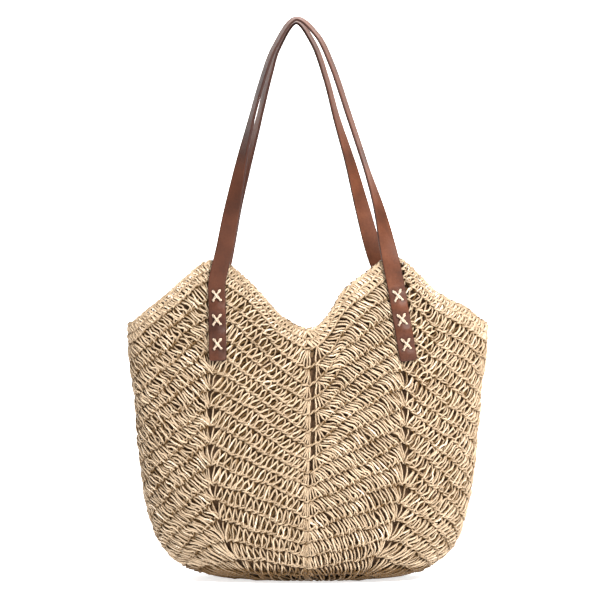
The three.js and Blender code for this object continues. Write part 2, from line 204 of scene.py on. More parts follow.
def waviness(p, k):
    # the hand of the maker: rounds that wander a little, the same way everywhere
    way = p / (4 * quarter) * 2 * math.pi
    return (0.06 * np.sin(7 * way + 1.3 * k) + 0.05 * np.sin(17 * way - 2.1 * k + 1)
            + 0.035 * np.sin(31 * way + 0.7 * k + 2))


def relaxed(p, k, depth):
    inside = np.clip(np.minimum(k + 1, rounds["count"] - k) / 2, 0, 1)
    bump = 0.5 * np.sin(p / 23 + 2.4 * k) + 0.5 * np.sin(p / 41 - 1.7 * k)
    return onBag(p, k + waviness(p, k) * inside, depth + 0.55 * bump * inside)


def newBundle():
    return {"points": [], "loops": [], "sizes": [], "uv": [], "tint": [], "count": 0}


def addCaps(bundle, caps):
    # one face for each row of corner numbers
    bundle["loops"].append(caps.ravel())
    bundle["sizes"].append(np.full(len(caps), caps.shape[1]))
    bundle["uv"].append(np.zeros((caps.size, 2)))


def addTubes(bundle, centres, outward, radii, tints, sides=6, flankShade=0.0):
    # a tube along each row of centres, with painted shade laid on the sides and back that face its
    # neighbours
    n, m = centres.shape[:2]
    tangent = unit(np.gradient(centres, axis=1))
    across = unit(np.cross(outward, tangent))
    away = np.cross(tangent, across)
    angle = np.arange(sides) / sides * 2 * math.pi
    radii = np.broadcast_to(radii, (n, m))[:, :, None, None]
    rings = centres[:, :, None] + radii * (np.cos(angle)[:, None] * across[:, :, None]
                                           + np.sin(angle)[:, None] * away[:, :, None])
    steps = np.linalg.norm(np.diff(centres, axis=1), axis=-1)
    way = np.concatenate([np.zeros((n, 1)), np.cumsum(steps, 1)], 1) / 10
    index = bundle["count"] + np.arange(n * m * sides).reshape(n, m, sides)
    beside = np.roll(index, -1, 2)
    quads = np.stack([index[:, :-1], beside[:, :-1], beside[:, 1:], index[:, 1:]], -1).reshape(-1, 4)
    v, u, nextU = np.broadcast_arrays(np.arange(sides) / sides, way[:, :-1, None], way[:, 1:, None])
    nextV = v + 1 / sides
    bundle["points"].append(rings.reshape(-1, 3))
    bundle["loops"].append(quads.ravel())
    bundle["sizes"].append(np.full(len(quads), 4))
    bundle["uv"].append(np.stack([u, v, u, nextV, nextU, nextV, nextU, v], -1).reshape(-1, 2))
    for caps in (index[:, 0, ::-1], index[:, -1]):
        addCaps(bundle, caps)
    tints = np.asarray(tints, float)
    if tints.ndim < 2:
        tints = tints.reshape(-1, 1)
    # painted shade: the sides and back of the tube darker
    tints = tints[:, :, None] - flankShade * (1 - np.clip(np.sin(angle), 0, 1))
    bundle["tint"].append(np.broadcast_to(tints, (n, m, sides)).ravel())
    bundle["count"] += n * m * sides


def addSleeve(bundle, rings, uvScale=0.05):
    # a closed skin through rings of points, each (rings, points round, 3), with both ends filled
    rows, columns = rings.shape[:2]
    index = bundle["count"] + np.arange(rows * columns).reshape(rows, columns)
    beside = np.roll(index, -1, 1)
    quads = np.stack([index[:-1], beside[:-1], beside[1:], index[1:]], -1).reshape(-1, 4)
    uv = np.stack(np.meshgrid(np.arange(columns), np.arange(rows)), -1).reshape(-1, 2) * uvScale
    bundle["points"].append(rings.reshape(-1, 3))
    bundle["loops"].append(quads.ravel())
    bundle["sizes"].append(np.full(len(quads), 4))
    bundle["uv"].append(uv[quads.ravel() - bundle["count"]])
    bundle["tint"].append(np.full(rows * columns, 0.5))
    bundle["count"] += rows * columns
    for caps in (index[:1, ::-1], index[-1:]):
        addCaps(bundle, caps)


def makePiece(name, bundle, material, body):
    points = np.concatenate(bundle["points"]) * mm
    loops = np.concatenate(bundle["loops"]).astype(np.int32)
    sizes = np.concatenate(bundle["sizes"]).astype(np.int32)
    mesh = bpy.data.meshes.new(name)
    mesh.vertices.add(len(points))
    mesh.vertices.foreach_set("co", points.astype(np.float32).ravel())
    mesh.loops.add(len(loops))
    mesh.loops.foreach_set("vertex_index", loops)
    mesh.polygons.add(len(sizes))
    starts = np.concatenate([[0], np.cumsum(sizes)[:-1]])
    mesh.polygons.foreach_set("loop_start", starts.astype(np.int32))
    mesh.polygons.foreach_set("use_smooth", np.full(len(sizes), True))
    mesh.update(calc_edges=True)
    layer = mesh.uv_layers.new(name="way")
    layer.data.foreach_set("uv", np.concatenate(bundle["uv"]).astype(np.float32).ravel())
    tint = mesh.attributes.new("tint", "FLOAT", "POINT")
    tint.data.foreach_set("value", np.concatenate(bundle["tint"]).astype(np.float32))
    mesh.materials.append(material)
    piece = bpy.data.objects.new(name, mesh)
    bpy.context.scene.collection.objects.link(piece)
    if body:
        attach(piece, body)
    return piece


def newMaterial(name):
    material = bpy.data.materials.new(name)
    material.use_nodes = True
    nodes = material.node_tree.nodes
    shader = next(n for n in nodes if n.type == "BSDF_PRINCIPLED")
    return material, nodes, material.node_tree.links, shader


def ramp(nodes, stops):
    node = nodes.new("ShaderNodeValToRGB")
    elements = node.color_ramp.elements
    for i, (place, colour) in enumerate(stops):
        element = elements[i] if i < 2 else elements.new(place)
        element.position = place
        element.color = (*colour, 1)
    return node


def mathNode(nodes, links, operation, *inputs):
    node = nodes.new("ShaderNodeMath")
    node.operation = operation
    for i, value in enumerate(inputs):
        if isinstance(value, (int, float)):
            node.inputs[i].default_value = value
        else:
            links.new(value, node.inputs[i])
    return node.outputs[0]


def noiseNode(nodes, links, scale, detail=2):
    place = nodes.new("ShaderNodeTexCoord")
    node = nodes.new("ShaderNodeTexNoise")
    node.inputs["Scale"].default_value = scale
    node.inputs["Detail"].default_value = detail
    links.new(place.outputs["Object"], node.inputs["Vector"])
    return node.outputs["Fac"]


def bumpNode(nodes, links, shader, height, strength, relief):
    bump = nodes.new("ShaderNodeBump")
    bump.inputs["Strength"].default_value = strength
    bump.inputs["Distance"].default_value = relief
    links.new(height, bump.inputs["Height"])
    links.new(bump.outputs["Normal"], shader.inputs["Normal"])


def yarnMaterial(name, dark, middle, light, twist, roughness, relief):
    material, nodes, links, shader = newMaterial(name)
    # the tint attribute sets the tone; on the straw it also carries painted shade and painted light
    tint = nodes.new("ShaderNodeAttribute")
    tint.attribute_name = "tint"
    uv = nodes.new("ShaderNodeUVMap")
    uv.uv_map = "way"
    split = nodes.new("ShaderNodeSeparateXYZ")
    links.new(uv.outputs["UV"], split.inputs[0])
    along = mathNode(nodes, links, "MULTIPLY", split.outputs[0], twist)
    around = mathNode(nodes, links, "MULTIPLY", split.outputs[1], 2.0)
    phase = mathNode(nodes, links, "ADD", along, around)
    ply = mathNode(nodes, links, "SINE", mathNode(nodes, links, "MULTIPLY", phase, 2 * math.pi))
    grain = noiseNode(nodes, links, 900, 3)
    blotch = noiseNode(nodes, links, 45)
    mix = mathNode(nodes, links, "MULTIPLY_ADD", blotch, 0.5, tint.outputs["Fac"])
    mix = mathNode(nodes, links, "MULTIPLY_ADD", grain, 0.35, mix)
    mix = mathNode(nodes, links, "MULTIPLY_ADD", ply, 0.06, mix)
    tones = ramp(nodes, [(0.35, dark), (0.95, middle), (1.0, light)])
    links.new(mathNode(nodes, links, "MULTIPLY", mix, 0.66), tones.inputs["Fac"])
    links.new(tones.outputs["Color"], shader.inputs["Base Color"])
    shader.inputs["Roughness"].default_value = roughness
    shader.inputs["Specular IOR Level"].default_value = 0.16
    height = mathNode(nodes, links, "MULTIPLY_ADD", ply, 0.7, grain)
    bumpNode(nodes, links, shader, height, 0.4, relief)
    return material


strawYarn = yarnMaterial("straw_yarn", (0.1, 0.053, 0.017), (0.494, 0.374, 0.253),
                         (0.75, 0.63, 0.525), 2.6, 0.42, 0.0004)

# one stitch: strands as (way along the round, share of the round's height, depth), in order;
# the long strand lies in front, and rounds that rise the other way show two strands side by side
stitch = {
    "pitch": 6.5,
    "radius": 0.94,
    # each strand's tint is lower the further back it lies: painted shade on the strands behind, painted
    # light on the long one in front
    "falling": [
        {"path": [(-3.9, -0.09, 1.5), (-3.4, 0.22, 0.55), (-2.7, 0.58, 0.45), (-1.7, 0.93, 2.2)],
         "width": 1.1, "tint": 0.93},
        {"path": [(-2.0, 0.90, 2.6), (-0.4, 0.78, 1.4), (1.3, 0.52, 1.1), (2.6, 0.02, 2.4)],
         "width": 1.0, "tint": 0.70},
        {"path": [(-2.9, 0.14, 2.4), (-1.0, 0.06, 0.9), (0.9, 0.12, 1.0), (2.0, 0.42, 2.6)],
         "width": 1.0, "tint": 0.68},
        {"path": [(-1.8, -0.02, 3.3), (-1.3, 0.34, 3.0), (-0.2, 0.66, 3.0), (1.5, 0.98, 3.2)],
         "width": 0.95, "tint": 0.30},
    ],
    "rising": [
        {"path": [(3.6, -0.13, 1.4), (2.4, 0.22, 0.5), (0.1, 0.58, 0.4), (-2.1, 0.91, 2.2)],
         "width": 1.08, "tint": 0.92},
        {"path": [(6.1, -0.02, 2.3), (5.1, 0.30, 1.0), (2.9, 0.62, 0.9), (0.5, 0.96, 2.4)],
         "width": 1.02, "tint": 0.74},
        {"path": [(-1.2, 0.06, 2.6), (0.6, 0.05, 0.9), (2.3, 0.16, 1.0), (2.9, 0.42, 2.7)],
         "width": 0.98, "tint": 0.66},
        {"path": [(4.2, -0.02, 3.3), (3.2, 0.34, 2.7), (1.2, 0.66, 2.7), (-1.4, 0.98, 3.2)],
         "width": 0.95, "tint": 0.30},
    ],
    "segments": 5,
    "jitter": (0.66, 0.034, 0.3),
    "looser": 1.45,
    # painted shade on the sides of each strand
    "flankShade": 0.42,
    # painted shade on the rounds near the foot: its strength, and the height it fades out below
    "footShade": 0.7,
    "footShadeBelow": 19.5,
}

# where a panel starts, its strands fan out round a hole; where it ends, they close up again
fans = {"hole": 4.1, "falling": {"strands": 2, "reach": 4.6}, "rising": {"strands": 4, "reach": 3.0}}

# a slit up the middle, closed low down and under the edging
seam = {"hole": 9.6, "over": -1.9, "close": 0.9,
        "openRounds": [(5, 0), (8, 0.4), (10, 1), (16, 1), (16.1, 0)]}

chain = {
    "pitch": 7.2,
    "radius": 1.02,
    "segments": 5,
    # the strand behind has the lower tint: painted shade
    "strands": [
        {"start": 0.0, "path": [(-5.0, -1.5, 3.0), (-2.0, -0.9, 1.1), (2.2, 0.6, 1.0), (5.0, 1.4, 2.9)],
         "width": 1.04, "tint": 0.70},
        {"start": 0.5, "path": [(-4.4, 1.4, 3.0), (-1.6, 1.0, 1.7), (1.6, -0.6, 1.8), (4.6, -1.4, 3.0)],
         "width": 0.97, "tint": 0.55},
    ],
    "jitter": (0.5, 0.32, 0.25),
    "covered": 1.0,
    "open": 11.0,
    "spread": 0.85,
}

# the top edge: short rounds close together instead of one tall one; its yarn gets less painted shade
edging = {"from": 16.0, "rounds": (16.52, 17.0), "slant": 0.6, "crowding": 0.74, "double": 0.07,
          "over": 2.6, "depthShadeScale": 0.7, "flankShade": 0.28}


def addYarn(bundle, centres, outward, radii, tints, depth, onEdge):
    # painted shade and light on the yarn: shade painted where it lies deep between its neighbours and on
    # the rounds near the foot, where the wall curves under; light painted where it stands proud
    depthShadeScale, flankShade = (edging["depthShadeScale"], edging["flankShade"]) if onEdge else (1, stitch["flankShade"])
    depth = depth * depthShadeScale
    tints = np.clip(np.asarray(tints, float), 0.15, 1.0).reshape(-1, 1)
    # painted shade on deep yarn, painted light on proud yarn
    tints = tints - 0.65 * np.clip((depth - 1.3) / 1.4, 0, 1) + 0.08 * np.clip(1 - depth, 0, 1)
    # painted shade on the low rounds, where the foot curves under
    tints = tints - stitch["footShade"] * np.clip((stitch["footShadeBelow"] - centres[..., 2]) / 4, 0, 1)
    addTubes(bundle, centres, outward, radii, tints, flankShade=flankShade)


def smoothPath(points, count):
    # points (..., n, 3) to (..., count, 3) along a smooth curve through them
    n = points.shape[-2]
    t = np.linspace(0, n - 1, count)
    i = np.clip(t.astype(int), 0, n - 2)
    f = (t - i)[:, None]
    pad = np.concatenate([2 * points[..., :1, :] - points[..., 1:2, :], points,
                          2 * points[..., -1:, :] - points[..., -2:-1, :]], -2)
    p0, p1, p2, p3 = (pad[..., i + j, :] for j in range(4))
    return 0.5 * (2 * p1 + (p2 - p0) * f + (2 * p0 - 5 * p1 + 4 * p2 - p3) * f ** 2
                  + (3 * p1 - p0 - 3 * p2 + p3) * f ** 3)


def panelsOf(k, height):
    # each panel runs from a fan, and the fan below it, to the middle or side seam it falls to
    atFan, below = float(fanWay(k)), float(fanWay(k - height))
    panels = []
    for base in (0, 2 * quarter):
        for start, way in ((base, 1), (base + 2 * quarter, -1)):
            valleys = (base, base + quarter) if way > 0 else (base + quarter, start)
            panels += [(start + way * atFan, start + way * below, valley) for valley in valleys]
    return panels


def layStrands(bundle, k, height, p, local, radii, tints):
    share = k + height * (local[..., 1] - 1)
    centres = relaxed(p, share, local[..., 2])
    outward = relaxed(p, share, local[..., 2] - 1) - centres
    ends = np.ones(p.shape[1])
    ends[[0, -1]] = 0.68
    radii = stitch["radius"] * np.asarray(radii, float).reshape(-1, 1) * ends
    addYarn(bundle, centres, outward, radii, tints, local[..., 2], height < 1)


def layRound(bundle, k, height=1.0):
    for fan, fanBelow, valley in panelsOf(k, height):
        toMiddle = abs(valley / quarter % 2 - 1) < 0.01
        way = 1 if valley > fan else -1
        falling = way < 0  # seen from outside, the round falls to the right
        span = abs(valley - fan)
        level = float(roundHeight(np.array(fan), k)) - rounds["scaleBelow"]
        scale = float(halfSize("widths", level)) / rounds["sectionWidth"]
        width = span * scale
        drop = float(middleDrop(k) if toMiddle else table("sideDrops", k))
        slope = math.atan2(max(drop, 0), width)
        shift = height * rounds["pitch"] * math.sin(slope) * math.cos(slope)
        step = stitch["pitch"] * math.cos(slope) * (1 if height == 1 else edging["crowding"])
        closing = seam["close"]
        if toMiddle:
            openness = float(np.interp(k, *zip(*seam["openRounds"])))
            closing += openness * (seam["over" if falling else "hole"] - closing)
            closing -= edging["over"] * (height < 1)
        room = width - shift - closing
        count = max(int(round(room / step)), 2)
        bases = (np.arange(count) + 0.8) * room / count
        for strand in stitch["falling" if falling else "rising"]:
            path = np.array(strand["path"])
            jitter = luck.normal(0, 1, (count, len(path), 3)) * stitch["jitter"]
            jitter = jitter * (1 if toMiddle else stitch["looser"])
            local = smoothPath(path[None] + jitter, stitch["segments"] + 1)
            u = local[..., 1]
            low = fanBelow + way * bases[:, None] / scale
            high = fan + way * (bases[:, None] + shift) / scale
            slant = 1 if height == 1 else edging["slant"]
            p = low + (high - low) * u - slant * local[..., 0] * math.cos(slope) / scale
            radii = strand["width"] * luck.uniform(0.88, 1.12, count)
            layStrands(bundle, k, height, p, local, radii, strand["tint"] + luck.normal(0, 0.1, count))
        if height < 1:
            continue
        # the fan's own strands spread from one point
        spread = fans["falling" if falling else "rising"]
        number = spread["strands"]
        lows = np.linspace(0.5, 2.0, number)
        tops = np.linspace(fans["hole"], shift + spread["reach"], number)
        path = gatherPath(lows, tops, (0.0, 0.32, 0.64, 0.93), (1.6, 0.6, 0.5, 2.2))
        path[1::2, :, 2] += 0.9
        local = smoothPath(path, stitch["segments"] + 1)
        p = fanBelow + (fan - fanBelow) * local[..., 1] + way * local[..., 0] / scale
        tints = 0.74 + luck.normal(0, 0.1, number)
        layStrands(bundle, k, height, p, local, np.full(number, 0.98), tints)
        # strands that close up at the seam, where the panel gets narrower
        number = 3 if toMiddle and not falling else 4
        lows = np.linspace(closing, closing + shift, number)
        tops = np.linspace(closing - 0.5, closing + 1.4, number)
        path = gatherPath(lows, tops, (-0.05, 0.3, 0.62, 0.95), (1.6, 0.7, 0.8, 2.2))
        local = smoothPath(path, stitch["segments"] + 1)
        p = valley - way * local[..., 0] / scale
        tints = 0.7 + luck.normal(0, 0.1, number)
        layStrands(bundle, k, height, p, local, np.full(number, 1.0), tints)


def gatherPath(lows, tops, shares, depths):
    path = np.zeros((len(lows), 4, 3))
    path[..., 0] = lows[:, None] + (tops - lows)[:, None] * np.array(shares)
    path[..., 1] = shares
    path[..., 2] = depths
    return path + luck.normal(0, 1, path.shape) * np.array(stitch["jitter"]) * (0.7, 0.7, 1)


def layChain(bundle, k):
    # the links along the top of a round: one strand slants up in front, the next down behind it
    dense = np.linspace(0, 4 * quarter, 4001)
    line = onBag(dense, float(k), 0.0)
    length = np.concatenate([[0], np.cumsum(np.linalg.norm(np.diff(line, axis=0), axis=-1))])
    count = int(round(length[-1] / chain["pitch"]))
    for strand in chain["strands"]:
        middles = (np.arange(count) + strand["start"]) / count * length[-1]
        path = np.array(strand["path"])
        jitter = luck.normal(0, 1, (count, len(path), 3)) * chain["jitter"]
        local = smoothPath(path[None] + jitter, chain["segments"] + 1)
        p = np.interp(np.mod(middles[:, None] - local[..., 0], length[-1]), length, dense)
        kk = k + local[..., 1] / (rounds["pitch"] * chain["spread"])
        quarterOf = np.floor(np.mod(p, 4 * quarter) / quarter).astype(int) % 2
        q = splitWay(p)[0]
        rising = (quarterOf == 0) == (q > fanWay(k))
        rising = rising & (q < quarter - chain["open"])
        covered = chain["covered"] * rising * (k < edging["from"])  # the next round's feet lie over it
        local[..., 2] += covered
        centres = relaxed(p, kk, local[..., 2])
        outward = relaxed(p, kk, local[..., 2] - 1) - centres
        profile = np.full(chain["segments"] + 1, 1.0)
        profile[[0, -1]] = 0.65
        radii = chain["radius"] * strand["width"] * profile * luck.uniform(0.88, 1.12, (count, 1))
        tints = strand["tint"] + luck.normal(0, 0.1, count)
        addYarn(bundle, centres, outward, radii, tints, local[..., 2], k > edging["from"])


def layBag():
    groups = {"crochet_base": [(-2, 1), (-1, 1)]}
    for first in range(0, rounds["count"], 2):
        last = min(first + 2, rounds["count"])
        groups[f"crochet_rounds_{first}"] = [(k, 1) for k in range(first, last)]
    heights = np.diff([edging["from"], *edging["rounds"]])
    groups["crochet_rim"] = list(zip(edging["rounds"], heights))
    for name, group in groups.items():
        bundle = newBundle()
        for k, height in group:
            layRound(bundle, k, height)
            layChain(bundle, k)
            if k == edging["rounds"][-1]:
                layChain(bundle, k - edging["double"])
        piece = makePiece(name, bundle, strawYarn, "bag")
        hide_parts("crochet_body")
        print("tote:", name, sum(len(s) for s in bundle["sizes"]), "faces")


layBag()

# the handles: one strap each, sewn down at both ends; the arch turns a quarter on its way up
handles = {
    "width": 19.0,
    "thickness": 2.8,
    "offWall": 0.7,
    "edgeRound": 1.15,
    "bottom": 239.0,
    "fold": 322.0,
    "apex": (-12.5, 612.1),
    "apexDepth": 10.5,
    "yaw": 5.0,
    "turn": 71.0,
    "tabHeights": (239, 262, 285, 305),
    "stitchHeights": (257, 283, 309),
    "stitchHalf": (4.6, 6.0),
    "cornerRound": 3.2,
    "ringEvery": 2.2,
    # the number after side is painted shade on the strap's left leg
    "front": {"side": -1, "leftShade": 0.42,
              "left": {"tab": (-96, -97.5), "twist": (380, 512),
                       "leg": [(-89, 363), (-79.5, 413), (-66, 480), (-49, 545), (-35, 582)]},
              "right": {"tab": (108.5, 97), "twist": (344, 450),
                        "leg": [(88, 356), (77, 404), (64, 446), (46.5, 501), (26, 562), (10, 594)]}},
    "back": {"side": 1, "leftShade": 0.1,
             "left": {"tab": (-97, -98.5), "twist": (350, 515),
                      "leg": [(-93, 352), (-82, 405), (-69.5, 450), (-57, 495), (-43, 552), (-33, 584)]},
             "right": {"tab": (101, 91), "twist": (344, 535),
                       "leg": [(77, 352), (61, 408), (47, 460), (33, 506), (20.5, 552), (6, 590)]}},
}


def tabPoint(leg, z, side):
    low, high = leg["tab"]
    bottom, top = handles["bottom"], handles["stitchHeights"][-1]
    x = low + (high - low) * (z - bottom) / (top - bottom)
    return wallAt(x, z, -(handles["offWall"] + handles["thickness"] / 2), side)


def strapLine(strap):
    side = strap["side"]

    def legLine(leg):
        fold = tabPoint(leg, handles["fold"], side)
        sewn = [tabPoint(leg, z, side) for z in handles["tabHeights"]]
        free = []
        for x, z in leg["leg"]:
            t = (z - handles["fold"]) / (handles["apex"][1] - handles["fold"])
            depth = handles["apexDepth"] + (abs(fold[1]) - handles["apexDepth"]) * (1 - t) ** 0.75
            free.append((x, side * depth, z))
        return [*sewn, fold, *free]

    top = (handles["apex"][0], side * handles["apexDepth"], handles["apex"][1])
    knots = np.array([*legLine(strap["left"]), top, *legLine(strap["right"])[::-1]], float)
    # a smooth curve through the knots, spaced by the root of their distances
    pad = np.concatenate([[2 * knots[0] - knots[1]], knots, [2 * knots[-1] - knots[-2]]])
    line = []
    for i in range(len(knots) - 1):
        p0, p1, p2, p3 = pad[i:i + 4]
        d0, d1, d2 = (np.linalg.norm(b - a) ** 0.5 for a, b in ((p0, p1), (p1, p2), (p2, p3)))
        m1 = ((p1 - p0) / d0 - (p2 - p0) / (d0 + d1) + (p2 - p1) / d1) * d1
        m2 = ((p2 - p1) / d1 - (p3 - p1) / (d1 + d2) + (p3 - p2) / d2) * d1
        t = np.linspace(0, 1, 60, endpoint=i == len(knots) - 2)[:, None]
        line.append(p1 * (2 * t ** 3 - 3 * t ** 2 + 1) + m1 * (t ** 3 - 2 * t ** 2 + t)
                    + p2 * (3 * t ** 2 - 2 * t ** 3) + m2 * (t ** 3 - t ** 2))
    return np.concatenate(line)


def strapFrames(strap, line, at):
    # point, along, across, faceward at distances along the strap
    way = np.concatenate([[0], np.cumsum(np.linalg.norm(np.diff(line, axis=0), axis=-1))])
    at = np.asarray(at, float)

    def place(distance):
        return np.stack([np.interp(distance, way, line[:, i]) for i in range(3)], -1)

    point = place(at)
    along = unit(place(np.minimum(at + 1.5, way[-1])) - place(np.maximum(at - 1.5, 0)))
    y = np.array([0.0, 1.0, 0.0])
    depthwise = unit(y - along * along[..., 1:2])
    level = np.cross(depthwise, along)
    left = point[..., 0] < handles["apex"][0]
    start = np.where(left, strap["left"]["twist"][0], strap["right"]["twist"][0])
    end = np.where(left, strap["left"]["twist"][1], strap["right"]["twist"][1])
    t = np.clip((point[..., 2] - start) / (end - start), 0, 1)
    flat = -strap["side"] * handles["yaw"]
    twist = np.radians(flat + (handles["turn"] - flat) * (1 - (1 - t) ** 1.5))[..., None]
    across = level * np.cos(twist) - depthwise * np.sin(twist)
    faceward = np.cross(across, along)
    return point, along, across, faceward, way[-1]


def strapSection():
    # half width and half thickness shares round the section, with rounded edges
    w, h, r = handles["width"] / 2, handles["thickness"] / 2, handles["edgeRound"]
    bend = np.radians(np.linspace(0, 90, 5))
    corners = []
    for sx, sy, turn in ((1, 1, bend), (-1, 1, bend[::-1]), (-1, -1, bend), (1, -1, bend[::-1])):
        for a in turn:
            corners.append((sx * (w - r + r * math.cos(a)), sy * (h - r + r * math.sin(a))))
        if len(corners) in (5, 15):
            inner = np.linspace(w - r, r - w, 9)[1:-1] * sx
            corners += [(x, sy * h) for x in inner]
    return np.array(corners)


def strapPuckers(point, a, frames):
    # the leather dips at the thread holes and swells between the crosses; the last mask is a band round
    # each cross where shade is painted
    dent = np.zeros(a.shape)
    swell = np.zeros(a.shape)
    crossShade = np.zeros(a.shape)
    for centre, cAlong, cAcross in frames:
        v = ((point - centre) * cAlong).sum(-1)
        u = ((point - centre) * cAcross).sum(-1)
        for hu in (-1, 1):
            for hv in (-1, 1):
                far = np.hypot(u - hu * handles["stitchHalf"][0], v - hv * handles["stitchHalf"][1])
                dent = np.maximum(dent, np.exp(-(far / 2.6) ** 2))
        swell += np.exp(-((np.abs(v) - 13) / 6.0) ** 2)
        crossShade = np.maximum(crossShade, np.exp(-(v / 7.0) ** 2))
    return dent, swell, crossShade


leather = {
    "base": (0.074, 0.0220, 0.0088),
    "dark": (0.033, 0.0105, 0.0045),
    "light": (0.120, 0.039, 0.0175),
    # the dark edge colour is the edge paint, and is also mixed in as painted shade
    "edge": (0.028, 0.011, 0.008),
    "roughness": 0.48,
}


def leatherMaterial():
    material, nodes, links, shader = newMaterial("strap_leather")
    place = nodes.new("ShaderNodeTexCoord")
    grain = nodes.new("ShaderNodeTexVoronoi")
    grain.feature = "DISTANCE_TO_EDGE"
    grain.inputs["Scale"].default_value = 900
    links.new(place.outputs["Object"], grain.inputs["Vector"])
    fine = noiseNode(nodes, links, 420, 4)
    tones = ramp(nodes, [(0.3, leather["dark"]), (0.52, leather["base"]), (0.8, leather["light"])])
    mixed = mathNode(nodes, links, "MULTIPLY_ADD", fine, 0.25, noiseNode(nodes, links, 26, 5))
    links.new(mathNode(nodes, links, "SUBTRACT", mixed, 0.1), tones.inputs["Fac"])
    # the tint attribute mixes in the dark edge colour: edge paint on the strap's edges and cut ends,
    # painted shade round the crosses, in the thread holes and on the left legs
    darkening = nodes.new("ShaderNodeAttribute")
    darkening.attribute_name = "tint"
    edge = nodes.new("ShaderNodeMix")
    edge.data_type = "RGBA"
    links.new(darkening.outputs["Fac"], edge.inputs["Factor"])
    links.new(tones.outputs["Color"], edge.inputs["A"])
    edge.inputs["B"].default_value = (*leather["edge"], 1)
    links.new(edge.outputs["Result"], shader.inputs["Base Color"])
    gloss = mathNode(nodes, links, "MULTIPLY_ADD", fine, 0.22, leather["roughness"] - 0.1)
    links.new(gloss, shader.inputs["Roughness"])
    shader.inputs["Specular IOR Level"].default_value = 0.17
    pores = mathNode(nodes, links, "MINIMUM", grain.outputs["Distance"], 0.12)
    height = mathNode(nodes, links, "MULTIPLY_ADD", pores, 3.0, fine)
    bumpNode(nodes, links, shader, height, 0.35, 0.0003)
    return material


strapLeather = leatherMaterial()


def distanceAt(line, z, leftSide):
    way = np.concatenate([[0], np.cumsum(np.linalg.norm(np.diff(line, axis=0), axis=-1))])
    top = int(np.argmax(line[:, 2]))
    if leftSide:
        return float(np.interp(z, line[:top, 2], way[:top]))
    return float(np.interp(z, line[top:, 2][::-1], way[top:][::-1]))


def makeHandle(word):
    strap = handles[word]
    line = strapLine(strap)
    length = strapFrames(strap, line, [0])[4]
    ends = handles["cornerRound"] * (1 - np.cos(np.radians(np.linspace(0, 90, 6))))
    middle = np.linspace(ends[-1], length - ends[-1], int(length / handles["ringEvery"]))[1:-1]
    at = np.concatenate([ends, middle, length - ends[::-1]])
    point, along, across, faceward, _ = strapFrames(strap, line, at)
    section = strapSection()
    fromEnd = np.minimum(at, length - at)
    r = handles["cornerRound"]
    cut = r - np.sqrt(np.clip(r * r - (r - np.minimum(fromEnd, r)) ** 2, 0, None))
    widths = 1 - 2 * cut / handles["width"]
    thin = np.where(fromEnd < 0.8, 0.7 + 0.3 * fromEnd / 0.8, 1.0)
    a = section[None, :, 0] * widths[:, None]
    o = section[None, :, 1] * thin[:, None]
    crosses = []
    for leftSide in (True, False):
        for z in handles["stitchHeights"]:
            d = distanceAt(line, z, leftSide)
            crosses.append([part[0] for part in strapFrames(strap, line, [d])[:3]])
    flatPoint = point[:, None] + across[:, None] * a[..., None]
    dent, swell, crossShade = strapPuckers(flatPoint, a, crosses)
    sewn = (point[:, 2] < handles["fold"] - 4)[:, None]
    outside = (np.sign(o) * -strap["side"] > 0) & sewn
    o = o + np.where(outside, strap["side"] * (0.75 * dent - 0.75 * swell * (1 - (a / 9.5) ** 2)), 0)
    slack = 0.25 * np.sin(at / 31 + 1.3)[:, None] * (a / 9.5) ** 2
    grid = flatPoint + faceward[:, None] * (o + slack * ~sewn)[..., None]
    bundle = newBundle()
    addSleeve(bundle, grid)
    edge = np.clip((np.abs(section[:, 0]) - (handles["width"] / 2 - 0.55)) / 0.3, 0, 1)
    shade = np.broadcast_to(edge, a.shape).copy()
    shade = np.maximum(shade, np.where(fromEnd[:, None] < 0.5, 0.9, 0))
    # painted shade round the crosses and in the thread holes; darker towards the strap's ends
    darkening = 0.5 * crossShade + 0.35 * np.clip(1 - fromEnd / 14, 0, 1)[:, None] * np.ones(a.shape)
    shade = np.maximum(shade, np.maximum(0.8 * dent, darkening) * outside)
    # painted shade: the left legs darker, turned away from the key light
    leftShade = strap["leftShade"] * np.clip((handles["apex"][0] - point[:, 0]) / 30, 0, 1)
    shade = np.maximum(shade, leftShade[:, None])
    bundle["tint"][-1] = shade.ravel()
    piece = makePiece(f"{word}_strap", bundle, strapLeather, "")
    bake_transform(piece)
    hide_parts(f"{word}_handle", f"{word}_handle_left_end", f"{word}_handle_right_end")
    return line


threadCord = yarnMaterial("cross_thread", (0.30, 0.21, 0.14), (0.50, 0.40, 0.30), (0.66, 0.56, 0.45),
                          3.0, 0.6, 0.0003)
threads = {"radius": 0.78, "ply": 0.64, "turns": 2.2, "steps": 26, "lift": 1.45, "crossing": 2.75,
           "half": (4.0, 5.3)}


